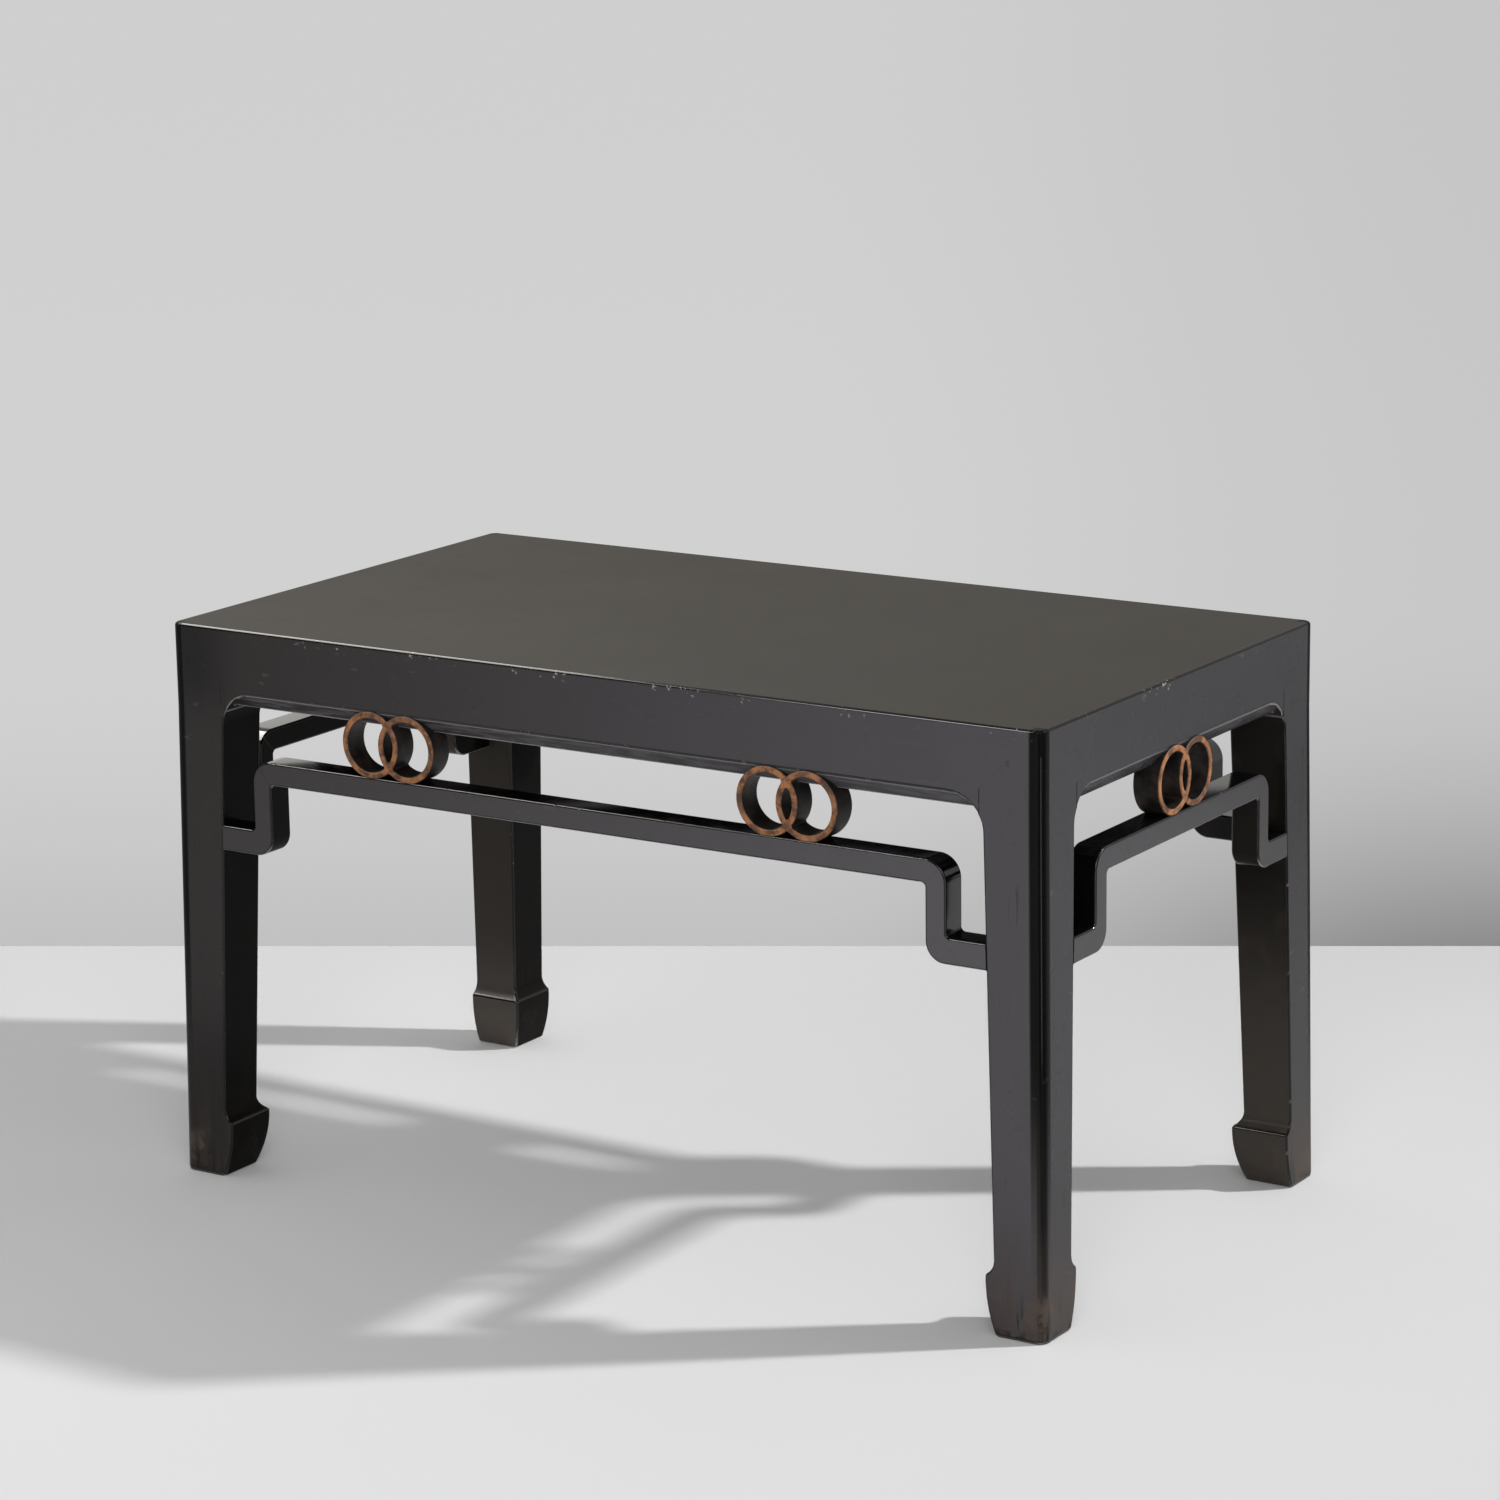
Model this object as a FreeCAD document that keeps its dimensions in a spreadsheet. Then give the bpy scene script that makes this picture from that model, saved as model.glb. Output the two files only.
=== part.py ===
import FreeCAD, Part
import Sketcher
import math
import os
from types import SimpleNamespace

# Kang table in black lacquer: a mitred frame with flush boards and flush aprons stands on
# splayed legs with hoof feet, tied by humpback stretchers that carry interlocked rings.
# The length runs along X, the front faces -Y, +Z is up, and the origin lies on the floor
# under the middle of the top. All lengths are in mm. Depths count inwards from the line
# of the top. What stands at the front right is built, and mirrored to the other sides.

doc = FreeCAD.newDocument("KangTable")
sheet = doc.addObject("Spreadsheet::Sheet", "Sizes")

DRIVING_SIZES = [
    ("top_length", 900, "length of the top"),
    ("top_width", 500, "width of the top"),
    ("table_height", 520, "floor to top"),
    ("corner_radius", 9, "rounding of the corners of the top and of the legs"),
    ("frame_thickness", 22, "thickness of the mitred frame"),
    ("frame_width", 62, "width of a frame rail"),
    ("frame_edge_radius", 3, "rounding of the upper edge of the frame"),
    ("frame_tenon_thickness", 7, "tenon from a long rail into an end rail"),
    ("frame_tenon_width", 22, "width of that tenon"),
    ("frame_tenon_start", 28, "from the front edge to that tenon"),
    ("frame_tenon_drop", 6, "from the top down to that tenon"),
    ("frame_tenon_cover", 10, "wood left beyond that tenon"),
    ("panel_thickness", 14, "thickness of the boards in the frame"),
    ("tongue_thickness", 6, "thickness of the tongues of the boards"),
    ("tongue_length", 7, "reach of a board's tongue into the frame"),
    ("board_tongue_length", 5, "tongue between the two boards"),
    ("brace_spacing", 390, "between the middles of the two braces"),
    ("brace_width", 34, "width of a brace"),
    ("brace_depth", 20, "height of a brace below the boards"),
    ("dovetail_depth", 4, "dovetail of a brace let into the boards"),
    ("dovetail_neck", 18, "dovetail at the underside of the boards"),
    ("dovetail_flare", 2, "how far the dovetail spreads on each side"),
    ("brace_tenon_length", 10, "tenon of a brace into a long rail"),
    ("brace_tenon_thickness", 4, "thickness of that tenon"),
    ("brace_tenon_drop", 2, "from the underside of the boards to that tenon"),
    ("apron_face", 37, "height of the flat face of an apron"),
    ("apron_thickness", 24, "thickness of an apron"),
    ("edge_drop", 13, "height of the bevelled lower edge of an apron"),
    ("edge_depth", 9, "depth of that bevel and of the mitred faces"),
    ("spandrel_radius", 33, "curve from apron into leg"),
    ("spandrel_flare", 4, "part of that curve that the leg carries"),
    ("mitre_rise", 32, "height of the sloping part of the mitred shoulder"),
    ("apron_tenon_length", 20, "tenon of an apron into a leg"),
    ("apron_tenon_thickness", 8, "thickness of that tenon"),
    ("apron_tenon_setback", 12, "depth of that tenon behind the face"),
    ("apron_tenon_height", 28, "height of that tenon"),
    ("apron_tenon_drop", 10, "from the frame down to that tenon"),
    ("loose_tenon_width", 24, "loose tenons between apron and frame"),
    ("loose_tenon_thickness", 7, "thickness of a loose tenon"),
    ("loose_tenon_height", 20, "height of a loose tenon, half in each piece"),
    ("loose_tenon_spacing", 260, "between loose tenons on a long side"),
    ("loose_tenon_side_spacing", 180, "between loose tenons on a short side"),
    ("leg_splay", 6, "how far the foot stands out beyond the top"),
    ("leg_width", 55, "depth of a leg below the spandrel"),
    ("ankle_width", 43, "depth of a leg at the ankle"),
    ("ridge_reach", 8, "how far the hoof stands out at its ridge"),
    ("sole_return", 10, "how far the hoof draws back from ridge to floor"),
    ("ridge_height", 53, "floor to the ridge of the hoof"),
    ("cove_height", 13, "height of the hollow above the ridge"),
    ("hoof_radius", 130, "swell of the hoof below its ridge"),
    ("sole_chamfer", 1.5, "eased edge at the floor"),
    ("leg_tenon_thickness", 12, "thickness of the two tenons on a leg"),
    ("leg_tenon_width", 14, "width of those tenons"),
    ("leg_tenon_setback", 12, "depth of those tenons behind the faces"),
    ("leg_tenon_offset", 32, "from the corner along each face to those tenons"),
    ("tall_tenon_height", 16, "leg tenon into a long rail"),
    ("short_tenon_height", 6, "leg tenon into an end rail, below the frame tenon"),
    ("ring_diameter", 61, "outside of a ring"),
    ("ring_wall", 6, "width of the face of a ring"),
    ("ring_depth", 25, "front to back of a ring strut"),
    ("ring_offset", 19.5, "from the middle of a strut to the middle of each ring"),
    ("ring_fillet", 1.8, "rounding where the rings cross"),
    ("ring_lap", 0.5, "how far the rings stand above the arris of the apron"),
    ("ring_seat", 1, "flat cut under the rings"),
    ("strut_spacing", 415, "between the two struts of a long side"),
    ("pin_diameter", 3, "bamboo pins of the struts"),
    ("pin_grip", 4, "length of a pin inside the strut"),
    ("pin_bite", 8, "length of a pin inside the apron or the bar"),
    ("pin_setback", 14, "depth of the pins behind the line of the top"),
    ("bar_height", 21, "height of a stretcher bar"),
    ("stretcher_depth", 27, "front to back of a stretcher"),
    ("crank_setback", 89, "from the line of the top to the riser of a crank"),
    ("riser_width", 20, "width of the riser"),
    ("crank_drop", 65, "from the top of the bar to the top of the crank's foot"),
    ("crank_foot_height", 23, "height of the crank's foot"),
    ("shoulder_round", 20, "outer rounding of the upper bend"),
    ("heel_round", 18, "outer rounding of the lower bend"),
    ("inner_round", 4, "inner rounding of both bends"),
    ("bar_tenon_length", 13, "reach of a bar's tenon past the inside of the riser"),
    ("bar_tenon_thickness", 8, "front to back of that tenon"),
    ("bar_tenon_height", 7, "height of that tenon"),
    ("bar_tenon_rise", 3, "from the underside of the bar to that tenon"),
    ("crank_tenon_length", 14, "tenon of a crank into a leg"),
    ("crank_tenon_thickness", 9, "front to back of that tenon"),
    ("crank_tenon_height", 13, "height of that tenon"),
    ("cheek_gap", 0.15, "clearance beside a tenon, tongue or pin"),
    ("end_gap", 1, "clearance beyond the end of a tenon"),
    ("overrun", 10, "how far a cutting shape runs past the wood"),
]

# Two places that differ by less than this are one place.
TOLERANCE = 1e-6


class Size:
    """A length that carries both its value and the sheet formula that gives it."""

    def __init__(self, value, formula):
        self.value = value
        self.formula = formula

    def __add__(self, other):
        return Size(self.value + other.value, f"({self.formula} + {other.formula})")

    def __sub__(self, other):
        return Size(self.value - other.value, f"({self.formula} - {other.formula})")

    def __mul__(self, other):
        return Size(self.value * other.value, f"({self.formula} * {other.formula})")

    def __truediv__(self, other):
        if isinstance(other, Size):
            return Size(self.value / other.value, f"({self.formula} / {other.formula})")
        return Size(self.value / other, f"({self.formula} / {other})")

    def __neg__(self):
        return Size(-self.value, f"(-1 * {self.formula})")

    def root(self):
        return Size(math.sqrt(self.value), f"sqrt({self.formula})")


ZERO = Size(0, "0")
s = SimpleNamespace()
rows_used = 0


def write_row(name, text, note):
    """Add one line to the sheet and name its value."""
    global rows_used
    rows_used += 1
    sheet.set(f"A{rows_used}", name)
    sheet.set(f"B{rows_used}", text)
    sheet.setAlias(f"B{rows_used}", name)
    sheet.set(f"C{rows_used}", note)


def derive(name, size, note):
    """Keep a worked-out length in the sheet under a name of its own."""
    write_row(name, "=" + size.formula.replace("Sizes.", ""), note)
    setattr(s, name, Size(size.value, "Sizes." + name))


for name, value, note in DRIVING_SIZES:
    write_row(name, str(value), note)
    setattr(s, name, Size(value, "Sizes." + name))

derive("half_length", s.top_length / 2, "middle to the end of the top")
derive("half_width", s.top_width / 2, "middle to the front of the top")
derive("rail_bottom", s.table_height - s.frame_thickness, "underside of the frame")
derive("panel_bottom", s.table_height - s.panel_thickness, "underside of the boards")
derive("arris", s.rail_bottom - s.apron_face, "lower edge of the apron's flat face")
derive("apron_bottom", s.arris - s.edge_drop, "underside of the apron")
derive("spring", s.arris - s.spandrel_radius, "where the leg starts to curve into the apron")
derive("shoulder_width", s.leg_width + s.spandrel_flare, "depth of a leg beside the apron")
derive("spandrel_run", s.spandrel_radius - s.spandrel_flare, "curve along the apron")
derive("spandrel_rise", (s.spandrel_radius * s.spandrel_radius
                         - s.spandrel_run * s.spandrel_run).root(), "curve on the leg")
derive("joint_foot", s.spring + s.spandrel_rise, "lower end of the shoulder joint")
derive("joint_knee", s.rail_bottom - s.mitre_rise, "where the shoulder joint turns to slope")
derive("mitre_tip", s.shoulder_width - s.mitre_rise, "upper end of the sloping shoulder")
derive("soffit_radius", (s.apron_bottom - s.joint_foot) * s.spandrel_radius
       / (s.spandrel_radius - s.spandrel_rise), "curve of the underside beside the leg")
derive("soffit_run", s.soffit_radius * s.spandrel_run / s.spandrel_radius,
       "length of that curve along the apron")
derive("ankle_height", s.ridge_height + s.cove_height, "top of the hollow above the hoof")
derive("ridge_width", s.ankle_width + s.ridge_reach, "depth of a leg at the ridge")
derive("sole_width", s.ridge_width - s.sole_return, "depth of a leg at the floor")
derive("cove_radius", (s.ridge_reach * s.ridge_reach + s.cove_height * s.cove_height)
       / s.ridge_reach / 2, "curve of the hollow, upright at its top")
derive("leg_taper", (s.leg_width - s.ankle_width) / (s.spring - s.ankle_height),
       "how fast the inner faces of a leg draw in")
derive("ring_radius", s.ring_diameter / 2, "outer radius of a ring")
derive("bore_radius", s.ring_radius - s.ring_wall, "inner radius of a ring")
derive("ring_height", s.arris + s.ring_lap - s.ring_radius, "floor to the middle of the rings")
derive("bar_top", s.ring_height - s.ring_radius + s.ring_seat, "top of a stretcher bar")
derive("bar_bottom", s.bar_top - s.bar_height, "underside of a stretcher bar")
derive("crank_foot_top", s.bar_top - s.crank_drop, "top of the crank's foot")
derive("crank_foot_bottom", s.crank_foot_top - s.crank_foot_height, "underside of that foot")
derive("crank_middle", s.crank_foot_bottom + s.crank_foot_height / 2, "its middle height")
derive("riser_inside", s.crank_setback + s.riser_width, "inner side of the riser")
derive("stretcher_proud", s.leg_splay * (s.joint_foot - s.crank_middle) / s.joint_foot,
       "how far stretchers stand out, flush with the splayed legs")
derive("grip_height", s.apron_bottom - s.pin_grip / 2 - s.ring_height,
       "from the middle of the rings to the middle of an upper pin's grip")
derive("upper_pin_offset", ((s.ring_radius - s.ring_wall / 2)
                            * (s.ring_radius - s.ring_wall / 2)
                            - s.grip_height * s.grip_height).root() + s.ring_offset,
       "from the middle of a strut to its upper pins, in the thick of the ring")
derive("groove_bottom", s.panel_bottom - s.cheek_gap, "underside of the groove for the boards")
derive("groove_top", s.panel_bottom + s.tongue_thickness + s.cheek_gap, "top of that groove")
derive("groove_depth", s.frame_width - s.tongue_length - s.end_gap, "wood outside that groove")


def inner_face(level):
    """Depth of a leg's inner face at a level between ankle and spandrel."""
    return s.ankle_width + s.leg_taper * (level - s.ankle_height)


def bind(thing, field, size):
    thing.setExpression(field, size.formula)


def pin_point(sketch, edge, end, place):
    """Fix one end of a sketch edge at a place measured from the origin."""
    for size, kind, axis in ((place[0], "DistanceX", -2), (place[1], "DistanceY", -1)):
        if size is ZERO:
            sketch.addConstraint(Sketcher.Constraint("PointOnObject", edge, end, axis))
            continue
        rule = Sketcher.Constraint(kind, -1, 1, edge, end, size.value)
        number = sketch.addConstraint(rule)
        bind(sketch, f"Constraints[{number}]", size)


def set_radius(sketch, edge, size):
    number = sketch.addConstraint(Sketcher.Constraint("Radius", edge, size.value))
    bind(sketch, f"Constraints[{number}]", size)


def draw_outline(sketch, corners, bends=None):
    """Close the corners with edges. bends gives the radius of each edge that is an arc,
    positive where its centre lies on the left of the way along the outline."""
    bends = bends or {}
    points = [FreeCAD.Vector(x.value, y.value, 0) for x, y in corners]
    ends = []
    for i, start in enumerate(points):
        stop = points[(i + 1) % len(points)]
        if i not in bends:
            ends.append((sketch.addGeometry(Part.LineSegment(start, stop), False), 1, 2))
            continue
        radius = bends[i].value
        chord = stop - start
        left = FreeCAD.Vector(-chord.y, chord.x, 0).normalize()
        lift = math.sqrt(radius ** 2 - (chord.Length / 2) ** 2)
        centre = (start + stop) * 0.5 + left * math.copysign(lift, radius)
        first, last = (start, stop) if radius > 0 else (stop, start)
        turns = [math.atan2(p.y - centre.y, p.x - centre.x) for p in (first, last)]
        circle = Part.Circle(centre, FreeCAD.Vector(0, 0, 1), abs(radius))
        edge = sketch.addGeometry(Part.ArcOfCircle(circle, *turns), False)
        ends.append((edge, 1, 2) if radius > 0 else (edge, 2, 1))
    for i, (edge, head, tail) in enumerate(ends):
        following, follow_head = ends[(i + 1) % len(ends)][:2]
        sketch.addConstraint(Sketcher.Constraint("Coincident", edge, tail,
                                                 following, follow_head))
    for i, (edge, head, tail) in enumerate(ends):
        pin_point(sketch, edge, head, corners[i])
        if i in bends:
            set_radius(sketch, edge, bends[i] if bends[i].value > 0 else -bends[i])


def draw_circle(sketch, x, y, radius):
    centre = FreeCAD.Vector(x.value, y.value, 0)
    circle = Part.Circle(centre, FreeCAD.Vector(0, 0, 1), radius.value)
    edge = sketch.addGeometry(circle, False)
    pin_point(sketch, edge, 3, (x, y))
    set_radius(sketch, edge, radius)


def new_sketch(body, plane, level):
    """Start a sketch on an origin plane of the body, moved to a level across that plane."""
    sketch = body.newObject("Sketcher::SketchObject", body.Name + "_sketch")
    for feature in body.Origin.OriginFeatures:
        if feature.Role == plane:
            sketch.AttachmentSupport = [(feature, "")]
    sketch.MapMode = "FlatFace"
    # The XZ plane looks along -Y, so its offset counts the other way.
    bind(sketch, "AttachmentOffset.Base.z", -level if plane == "XZ_Plane" else level)
    return sketch


def add_pad(body, sketch, length):
    pad = body.newObject("PartDesign::Pad", body.Name + "_pad")
    pad.Profile = sketch
    bind(pad, "Length", length)
    return pad


def add_prism(body, plane, levels, corners, bends=None):
    """Pad an outline in the body between two levels across the plane."""
    low, high = levels
    sketch = new_sketch(body, plane, high if plane == "XZ_Plane" else low)
    draw_outline(sketch, corners, bends)
    return add_pad(body, sketch, high - low)


def prism(name, plane, levels, corners, bends=None):
    body = doc.addObject("PartDesign::Body", name)
    add_prism(body, plane, levels, corners, bends)
    return body


def block(name, x, y, z):
    """A box between a pair of levels on each axis."""
    box = doc.addObject("Part::Box", name)
    for field, axis, (low, high) in (("Length", "x", x), ("Width", "y", y), ("Height", "z", z)):
        bind(box, field, high - low)
        bind(box, "Placement.Base." + axis, low)
    return box


def grow(pair, gap):
    return (pair[0] - gap, pair[1] + gap)


def centred(middle, width):
    return (middle - width / 2, middle + width / 2)


def mirrored(pair):
    return (-pair[1], -pair[0])


def combine(kind, name, shapes):
    joined = doc.addObject(kind, name)
    joined.Shapes = shapes
    joined.Refine = True
    return joined


def cut(name, base, tools):
    trimmed = doc.addObject("Part::Cut", name)
    trimmed.Base = base
    several = len(tools) > 1
    trimmed.Tool = combine("Part::MultiFuse", name + "_tools", tools) if several else tools[0]
    trimmed.Refine = True
    return trimmed


def mirror_image(name, source, axis):
    copy = doc.addObject("Part::Mirroring", name)
    copy.Source = source
    copy.Normal = FreeCAD.Vector(1, 0, 0) if axis == "X" else FreeCAD.Vector(0, 1, 0)
    return copy


pieces = {}


def keep(label, thing):
    """Name a finished piece of the table."""
    thing.Label = label
    pieces[label] = thing
    return thing


def mirror(label, source, axis):
    """Keep the same piece on the other side of the table."""
    return keep(label, mirror_image(label, source, axis))


# Sides of the table
# The front and the right side are built, each with places along it, depths behind the
# line of the top, and levels above the floor.
PLANES = {"front": "XZ_Plane", "right": "YZ_Plane"}
REACHES = {"front": s.half_length, "right": s.half_width}
STRUTS = {"front": (-(s.strut_spacing / 2), s.strut_spacing / 2), "right": (ZERO,)}


def across(side, depths):
    """Levels on the axis across a side for a pair of depths behind the line of the top."""
    near, far = depths
    if side == "front":
        return (near - s.half_width, far - s.half_width)
    return (s.half_length - far, s.half_length - near)


def side_block(name, side, along, depths, levels):
    if side == "front":
        return block(name, along, across(side, depths), levels)
    return block(name, across(side, depths), along, levels)


def side_rod(name, side, along, depth, levels, radius):
    """An upright rod at a place along a side."""
    rod = doc.addObject("Part::Cylinder", name)
    low, high = levels
    level = across(side, (depth, depth))[0]
    x, y = (along, level) if side == "front" else (level, along)
    bind(rod, "Radius", radius)
    bind(rod, "Height", high - low)
    bind(rod, "Placement.Base.x", x)
    bind(rod, "Placement.Base.y", y)
    bind(rod, "Placement.Base.z", low)
    return rod


def both_ends(side, near, far):
    """The stretches between two distances from each end of a side."""
    reach = REACHES[side]
    high = (reach - far, reach - near)
    return {"high": high, "low": mirrored(high)}


# Tenons and pins that two pieces share
frame_tenon_end = s.frame_tenon_start + s.frame_tenon_width
frame_tenon_top = s.table_height - s.frame_tenon_drop
frame_tenon_levels = (frame_tenon_top - s.frame_tenon_thickness, frame_tenon_top)
leg_tenon_depths = (s.leg_tenon_setback, s.leg_tenon_setback + s.leg_tenon_thickness)
leg_tenon_stretch = (s.leg_tenon_offset, s.leg_tenon_offset + s.leg_tenon_width)
LEG_TENON_HEIGHTS = {"front": s.tall_tenon_height, "right": s.short_tenon_height}
apron_tenon_depths = (s.apron_tenon_setback, s.apron_tenon_setback + s.apron_tenon_thickness)
apron_tenon_top = s.rail_bottom - s.apron_tenon_drop
apron_tenon_levels = (apron_tenon_top - s.apron_tenon_height, apron_tenon_top)
apron_tenon_tip = s.shoulder_width - s.apron_tenon_length
brace_tenon_top = s.panel_bottom - s.brace_tenon_drop
brace_tenon_levels = (brace_tenon_top - s.brace_tenon_thickness, brace_tenon_top)
loose_tenon_depths = centred(s.apron_thickness / 2, s.loose_tenon_thickness)
loose_tenon_levels = centred(s.rail_bottom, s.loose_tenon_height)
LOOSE_TENONS = {"front": (-s.loose_tenon_spacing, ZERO, s.loose_tenon_spacing),
                "right": (-(s.loose_tenon_side_spacing / 2), s.loose_tenon_side_spacing / 2)}
stretcher_depths = (-s.stretcher_proud, s.stretcher_depth - s.stretcher_proud)
stretcher_middle = s.stretcher_depth / 2 - s.stretcher_proud
crank_tenon_depths = centred(stretcher_middle, s.crank_tenon_thickness)
crank_tenon_levels = centred(s.crank_middle, s.crank_tenon_height)
crank_tenon_tip = inner_face(s.crank_middle) - s.crank_tenon_length
bar_tenon_depths = centred(stretcher_middle, s.bar_tenon_thickness)
bar_tenon_foot = s.bar_bottom + s.bar_tenon_rise
bar_tenon_levels = (bar_tenon_foot, bar_tenon_foot + s.bar_tenon_height)
bar_tenon_tip = s.riser_inside - s.bar_tenon_length
PIN_ROWS = {"upper": ((s.apron_bottom - s.pin_grip, s.apron_bottom + s.pin_bite),
                      s.upper_pin_offset),
            "lower": ((s.bar_top - s.pin_bite, s.bar_top + s.pin_grip), s.ring_offset)}


def pins(name, side, row, struts, radius):
    """Rods for the upper or lower pins of some struts of a side."""
    levels, offset = PIN_ROWS[row]
    places = [place for middle in struts for place in (middle - offset, middle + offset)]
    return [side_rod(f"{name}_{row}_{i}", side, place, s.pin_setback, levels, radius)
            for i, place in enumerate(places)]


def pin_holes(name, side, row, struts):
    return pins(name + "_hole", side, row, struts, s.pin_diameter / 2 + s.cheek_gap)


def loose_mortises(name, side):
    tools = []
    for place in LOOSE_TENONS[side]:
        along = grow(centred(place, s.loose_tenon_width), s.cheek_gap)
        tools.append(side_block(f"{name}_loose_mortise_{len(tools)}", side, along,
                                grow(loose_tenon_depths, s.cheek_gap),
                                grow(loose_tenon_levels, s.end_gap)))
    return tools


# Top frame
# One rounded slab gives the four rails their edges, and is parted at the mitres. Tenons
# on the long rails enter the end rails. The inner edges are grooved for the boards.
def frame_slab():
    body = doc.addObject("PartDesign::Body", "frame_slab")
    x, y, r = s.half_length, s.half_width, s.corner_radius
    corners = [(x - r, -y), (x, r - y), (x, y - r), (x - r, y),
               (r - x, y), (-x, y - r), (-x, r - y), (r - x, -y)]
    pad = add_prism(body, "XY_Plane", (s.rail_bottom, s.table_height), corners,
                    {0: r, 2: r, 4: r, 6: r})
    doc.recompute()
    top = s.table_height.value
    rim = [f"Edge{i + 1}" for i, edge in enumerate(pad.Shape.Edges)
           if all(abs(vertex.Z - top) < TOLERANCE for vertex in edge.Vertexes)]
    rounding = body.newObject("PartDesign::Fillet", "frame_slab_edge")
    rounding.Base = (pad, rim)
    bind(rounding, "Radius", s.frame_edge_radius)
    return body


def frame_mortises(side):
    """Cuts that the rails of both kinds share."""
    reach = s.half_length - s.groove_depth
    span = s.half_width - s.groove_depth
    tools = [block(side + "_rail_groove", (-reach, reach), (-span, span),
                   (s.groove_bottom, s.groove_top))]
    top = s.rail_bottom + LEG_TENON_HEIGHTS[side] + s.end_gap
    for end, along in both_ends(side, *leg_tenon_stretch).items():
        tools.append(side_block(f"{side}_rail_leg_mortise_{end}", side,
                                grow(along, s.cheek_gap), grow(leg_tenon_depths, s.cheek_gap),
                                (s.rail_bottom - s.overrun, top)))
    return tools + loose_mortises(side + "_rail", side)


def build_frame():
    x, y, w = s.half_length, s.half_width, s.frame_width
    slab = frame_slab()
    past = (s.rail_bottom - s.overrun, s.table_height + s.overrun)

    zone = prism("rail_zone", "XY_Plane", past,
                 [(-x, -y), (x, -y), (x - w, w - y), (w - x, w - y)])
    blank = combine("Part::MultiCommon", "rail_blank", [slab, zone])
    tenons = [side_block("rail_tenon_" + end, "front", along,
                         (s.frame_tenon_start, frame_tenon_end), frame_tenon_levels)
              for end, along in both_ends("front", s.frame_tenon_cover, frame_tenon_end).items()]
    rail = combine("Part::MultiFuse", "rail_with_tenons", [blank] + tenons)
    tools = frame_mortises("front")
    for middle in (-(s.brace_spacing / 2), s.brace_spacing / 2):
        along = grow(centred(middle, s.dovetail_neck), s.cheek_gap)
        tools.append(side_block(f"rail_brace_mortise_{len(tools)}", "front", along,
                                (w - s.brace_tenon_length - s.end_gap, w + s.overrun),
                                grow(brace_tenon_levels, s.cheek_gap)))
    rail = keep("frame_rail_front", cut("frame_rail_front", rail, tools))
    mirror("frame_rail_back", rail, "Y")

    zone = prism("end_zone", "XY_Plane", past,
                 [(x, -y), (x, y), (x - w, y - w), (x - w, w - y)])
    blank = combine("Part::MultiCommon", "end_blank", [slab, zone])
    tools = frame_mortises("right")
    for end, along in both_ends("right", s.frame_tenon_start, frame_tenon_end).items():
        tools.append(side_block("end_mortise_" + end, "right", grow(along, s.cheek_gap),
                                (s.frame_tenon_cover - s.end_gap, frame_tenon_end + s.overrun),
                                grow(frame_tenon_levels, s.cheek_gap)))
    rail = keep("frame_end_right", cut("frame_end_right", blank, tools))
    mirror("frame_end_left", rail, "X")


# Boards and braces
# Two boards lie flush in the frame, tongued into it and into each other. Dovetailed
# braces slide across their undersides and are tenoned into the long rails.
def dovetail(middle, gap, foot):
    """Outline of a dovetail from a lower level up into the boards."""
    neck = s.dovetail_neck / 2 + gap
    head = neck + s.dovetail_flare
    top = s.panel_bottom + s.dovetail_depth + gap
    return [(middle - neck, foot), (middle + neck, foot), (middle + neck, s.panel_bottom),
            (middle + head, top), (middle - head, top), (middle - neck, s.panel_bottom)]


def build_boards():
    inside_x = s.half_length - s.frame_width
    inside_y = s.half_width - s.frame_width
    levels = (s.panel_bottom, s.table_height)
    tongue_levels = (s.panel_bottom, s.panel_bottom + s.tongue_thickness)
    middle_tongue = centred(s.table_height - s.panel_thickness / 2, s.tongue_thickness)
    whole = (-inside_x, inside_x)
    tongued = grow(whole, s.tongue_length)
    tongue_y = inside_y + s.tongue_length
    past_y = tongue_y + s.overrun
    slots = [prism("slot_" + name, "XZ_Plane", (-past_y, past_y),
                   dovetail(middle, s.cheek_gap, s.panel_bottom - s.overrun))
             for name, middle in (("left", -(s.brace_spacing / 2)),
                                  ("right", s.brace_spacing / 2))]

    front = combine("Part::MultiFuse", "front_board_blank", [
        block("front_board_core", whole, (-inside_y, ZERO), levels),
        block("front_board_rim", tongued, (-tongue_y, ZERO), tongue_levels),
        block("front_board_tongue", whole, (ZERO, s.board_tongue_length), middle_tongue)])
    keep("top_board_front", cut("top_board_front", front, slots))

    back = combine("Part::MultiFuse", "back_board_blank", [
        block("back_board_core", whole, (ZERO, inside_y), levels),
        block("back_board_rim", tongued, (ZERO, tongue_y), tongue_levels)])
    groove = block("back_board_groove", grow(tongued, s.overrun),
                   (-s.overrun, s.board_tongue_length + s.end_gap),
                   grow(middle_tongue, s.cheek_gap))
    keep("top_board_back", cut("top_board_back", back, slots + [groove]))


def build_braces():
    middle = s.brace_spacing / 2
    inside = s.half_width - s.frame_width
    foot = s.panel_bottom - s.brace_depth
    left, right = centred(middle, s.brace_width)
    bar = prism("brace_bar", "XZ_Plane", (-inside, inside),
                [(left, foot), (right, foot), (right, s.panel_bottom)]
                + dovetail(middle, ZERO, foot)[2:] + [(left, s.panel_bottom)])
    tips = inside + s.brace_tenon_length
    tenon = block("brace_tenon", centred(middle, s.dovetail_neck), (-tips, tips),
                  brace_tenon_levels)
    brace = combine("Part::MultiFuse", "brace_right", [bar, tenon])
    mirror("brace_left", keep("brace_right", brace), "X")


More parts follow.
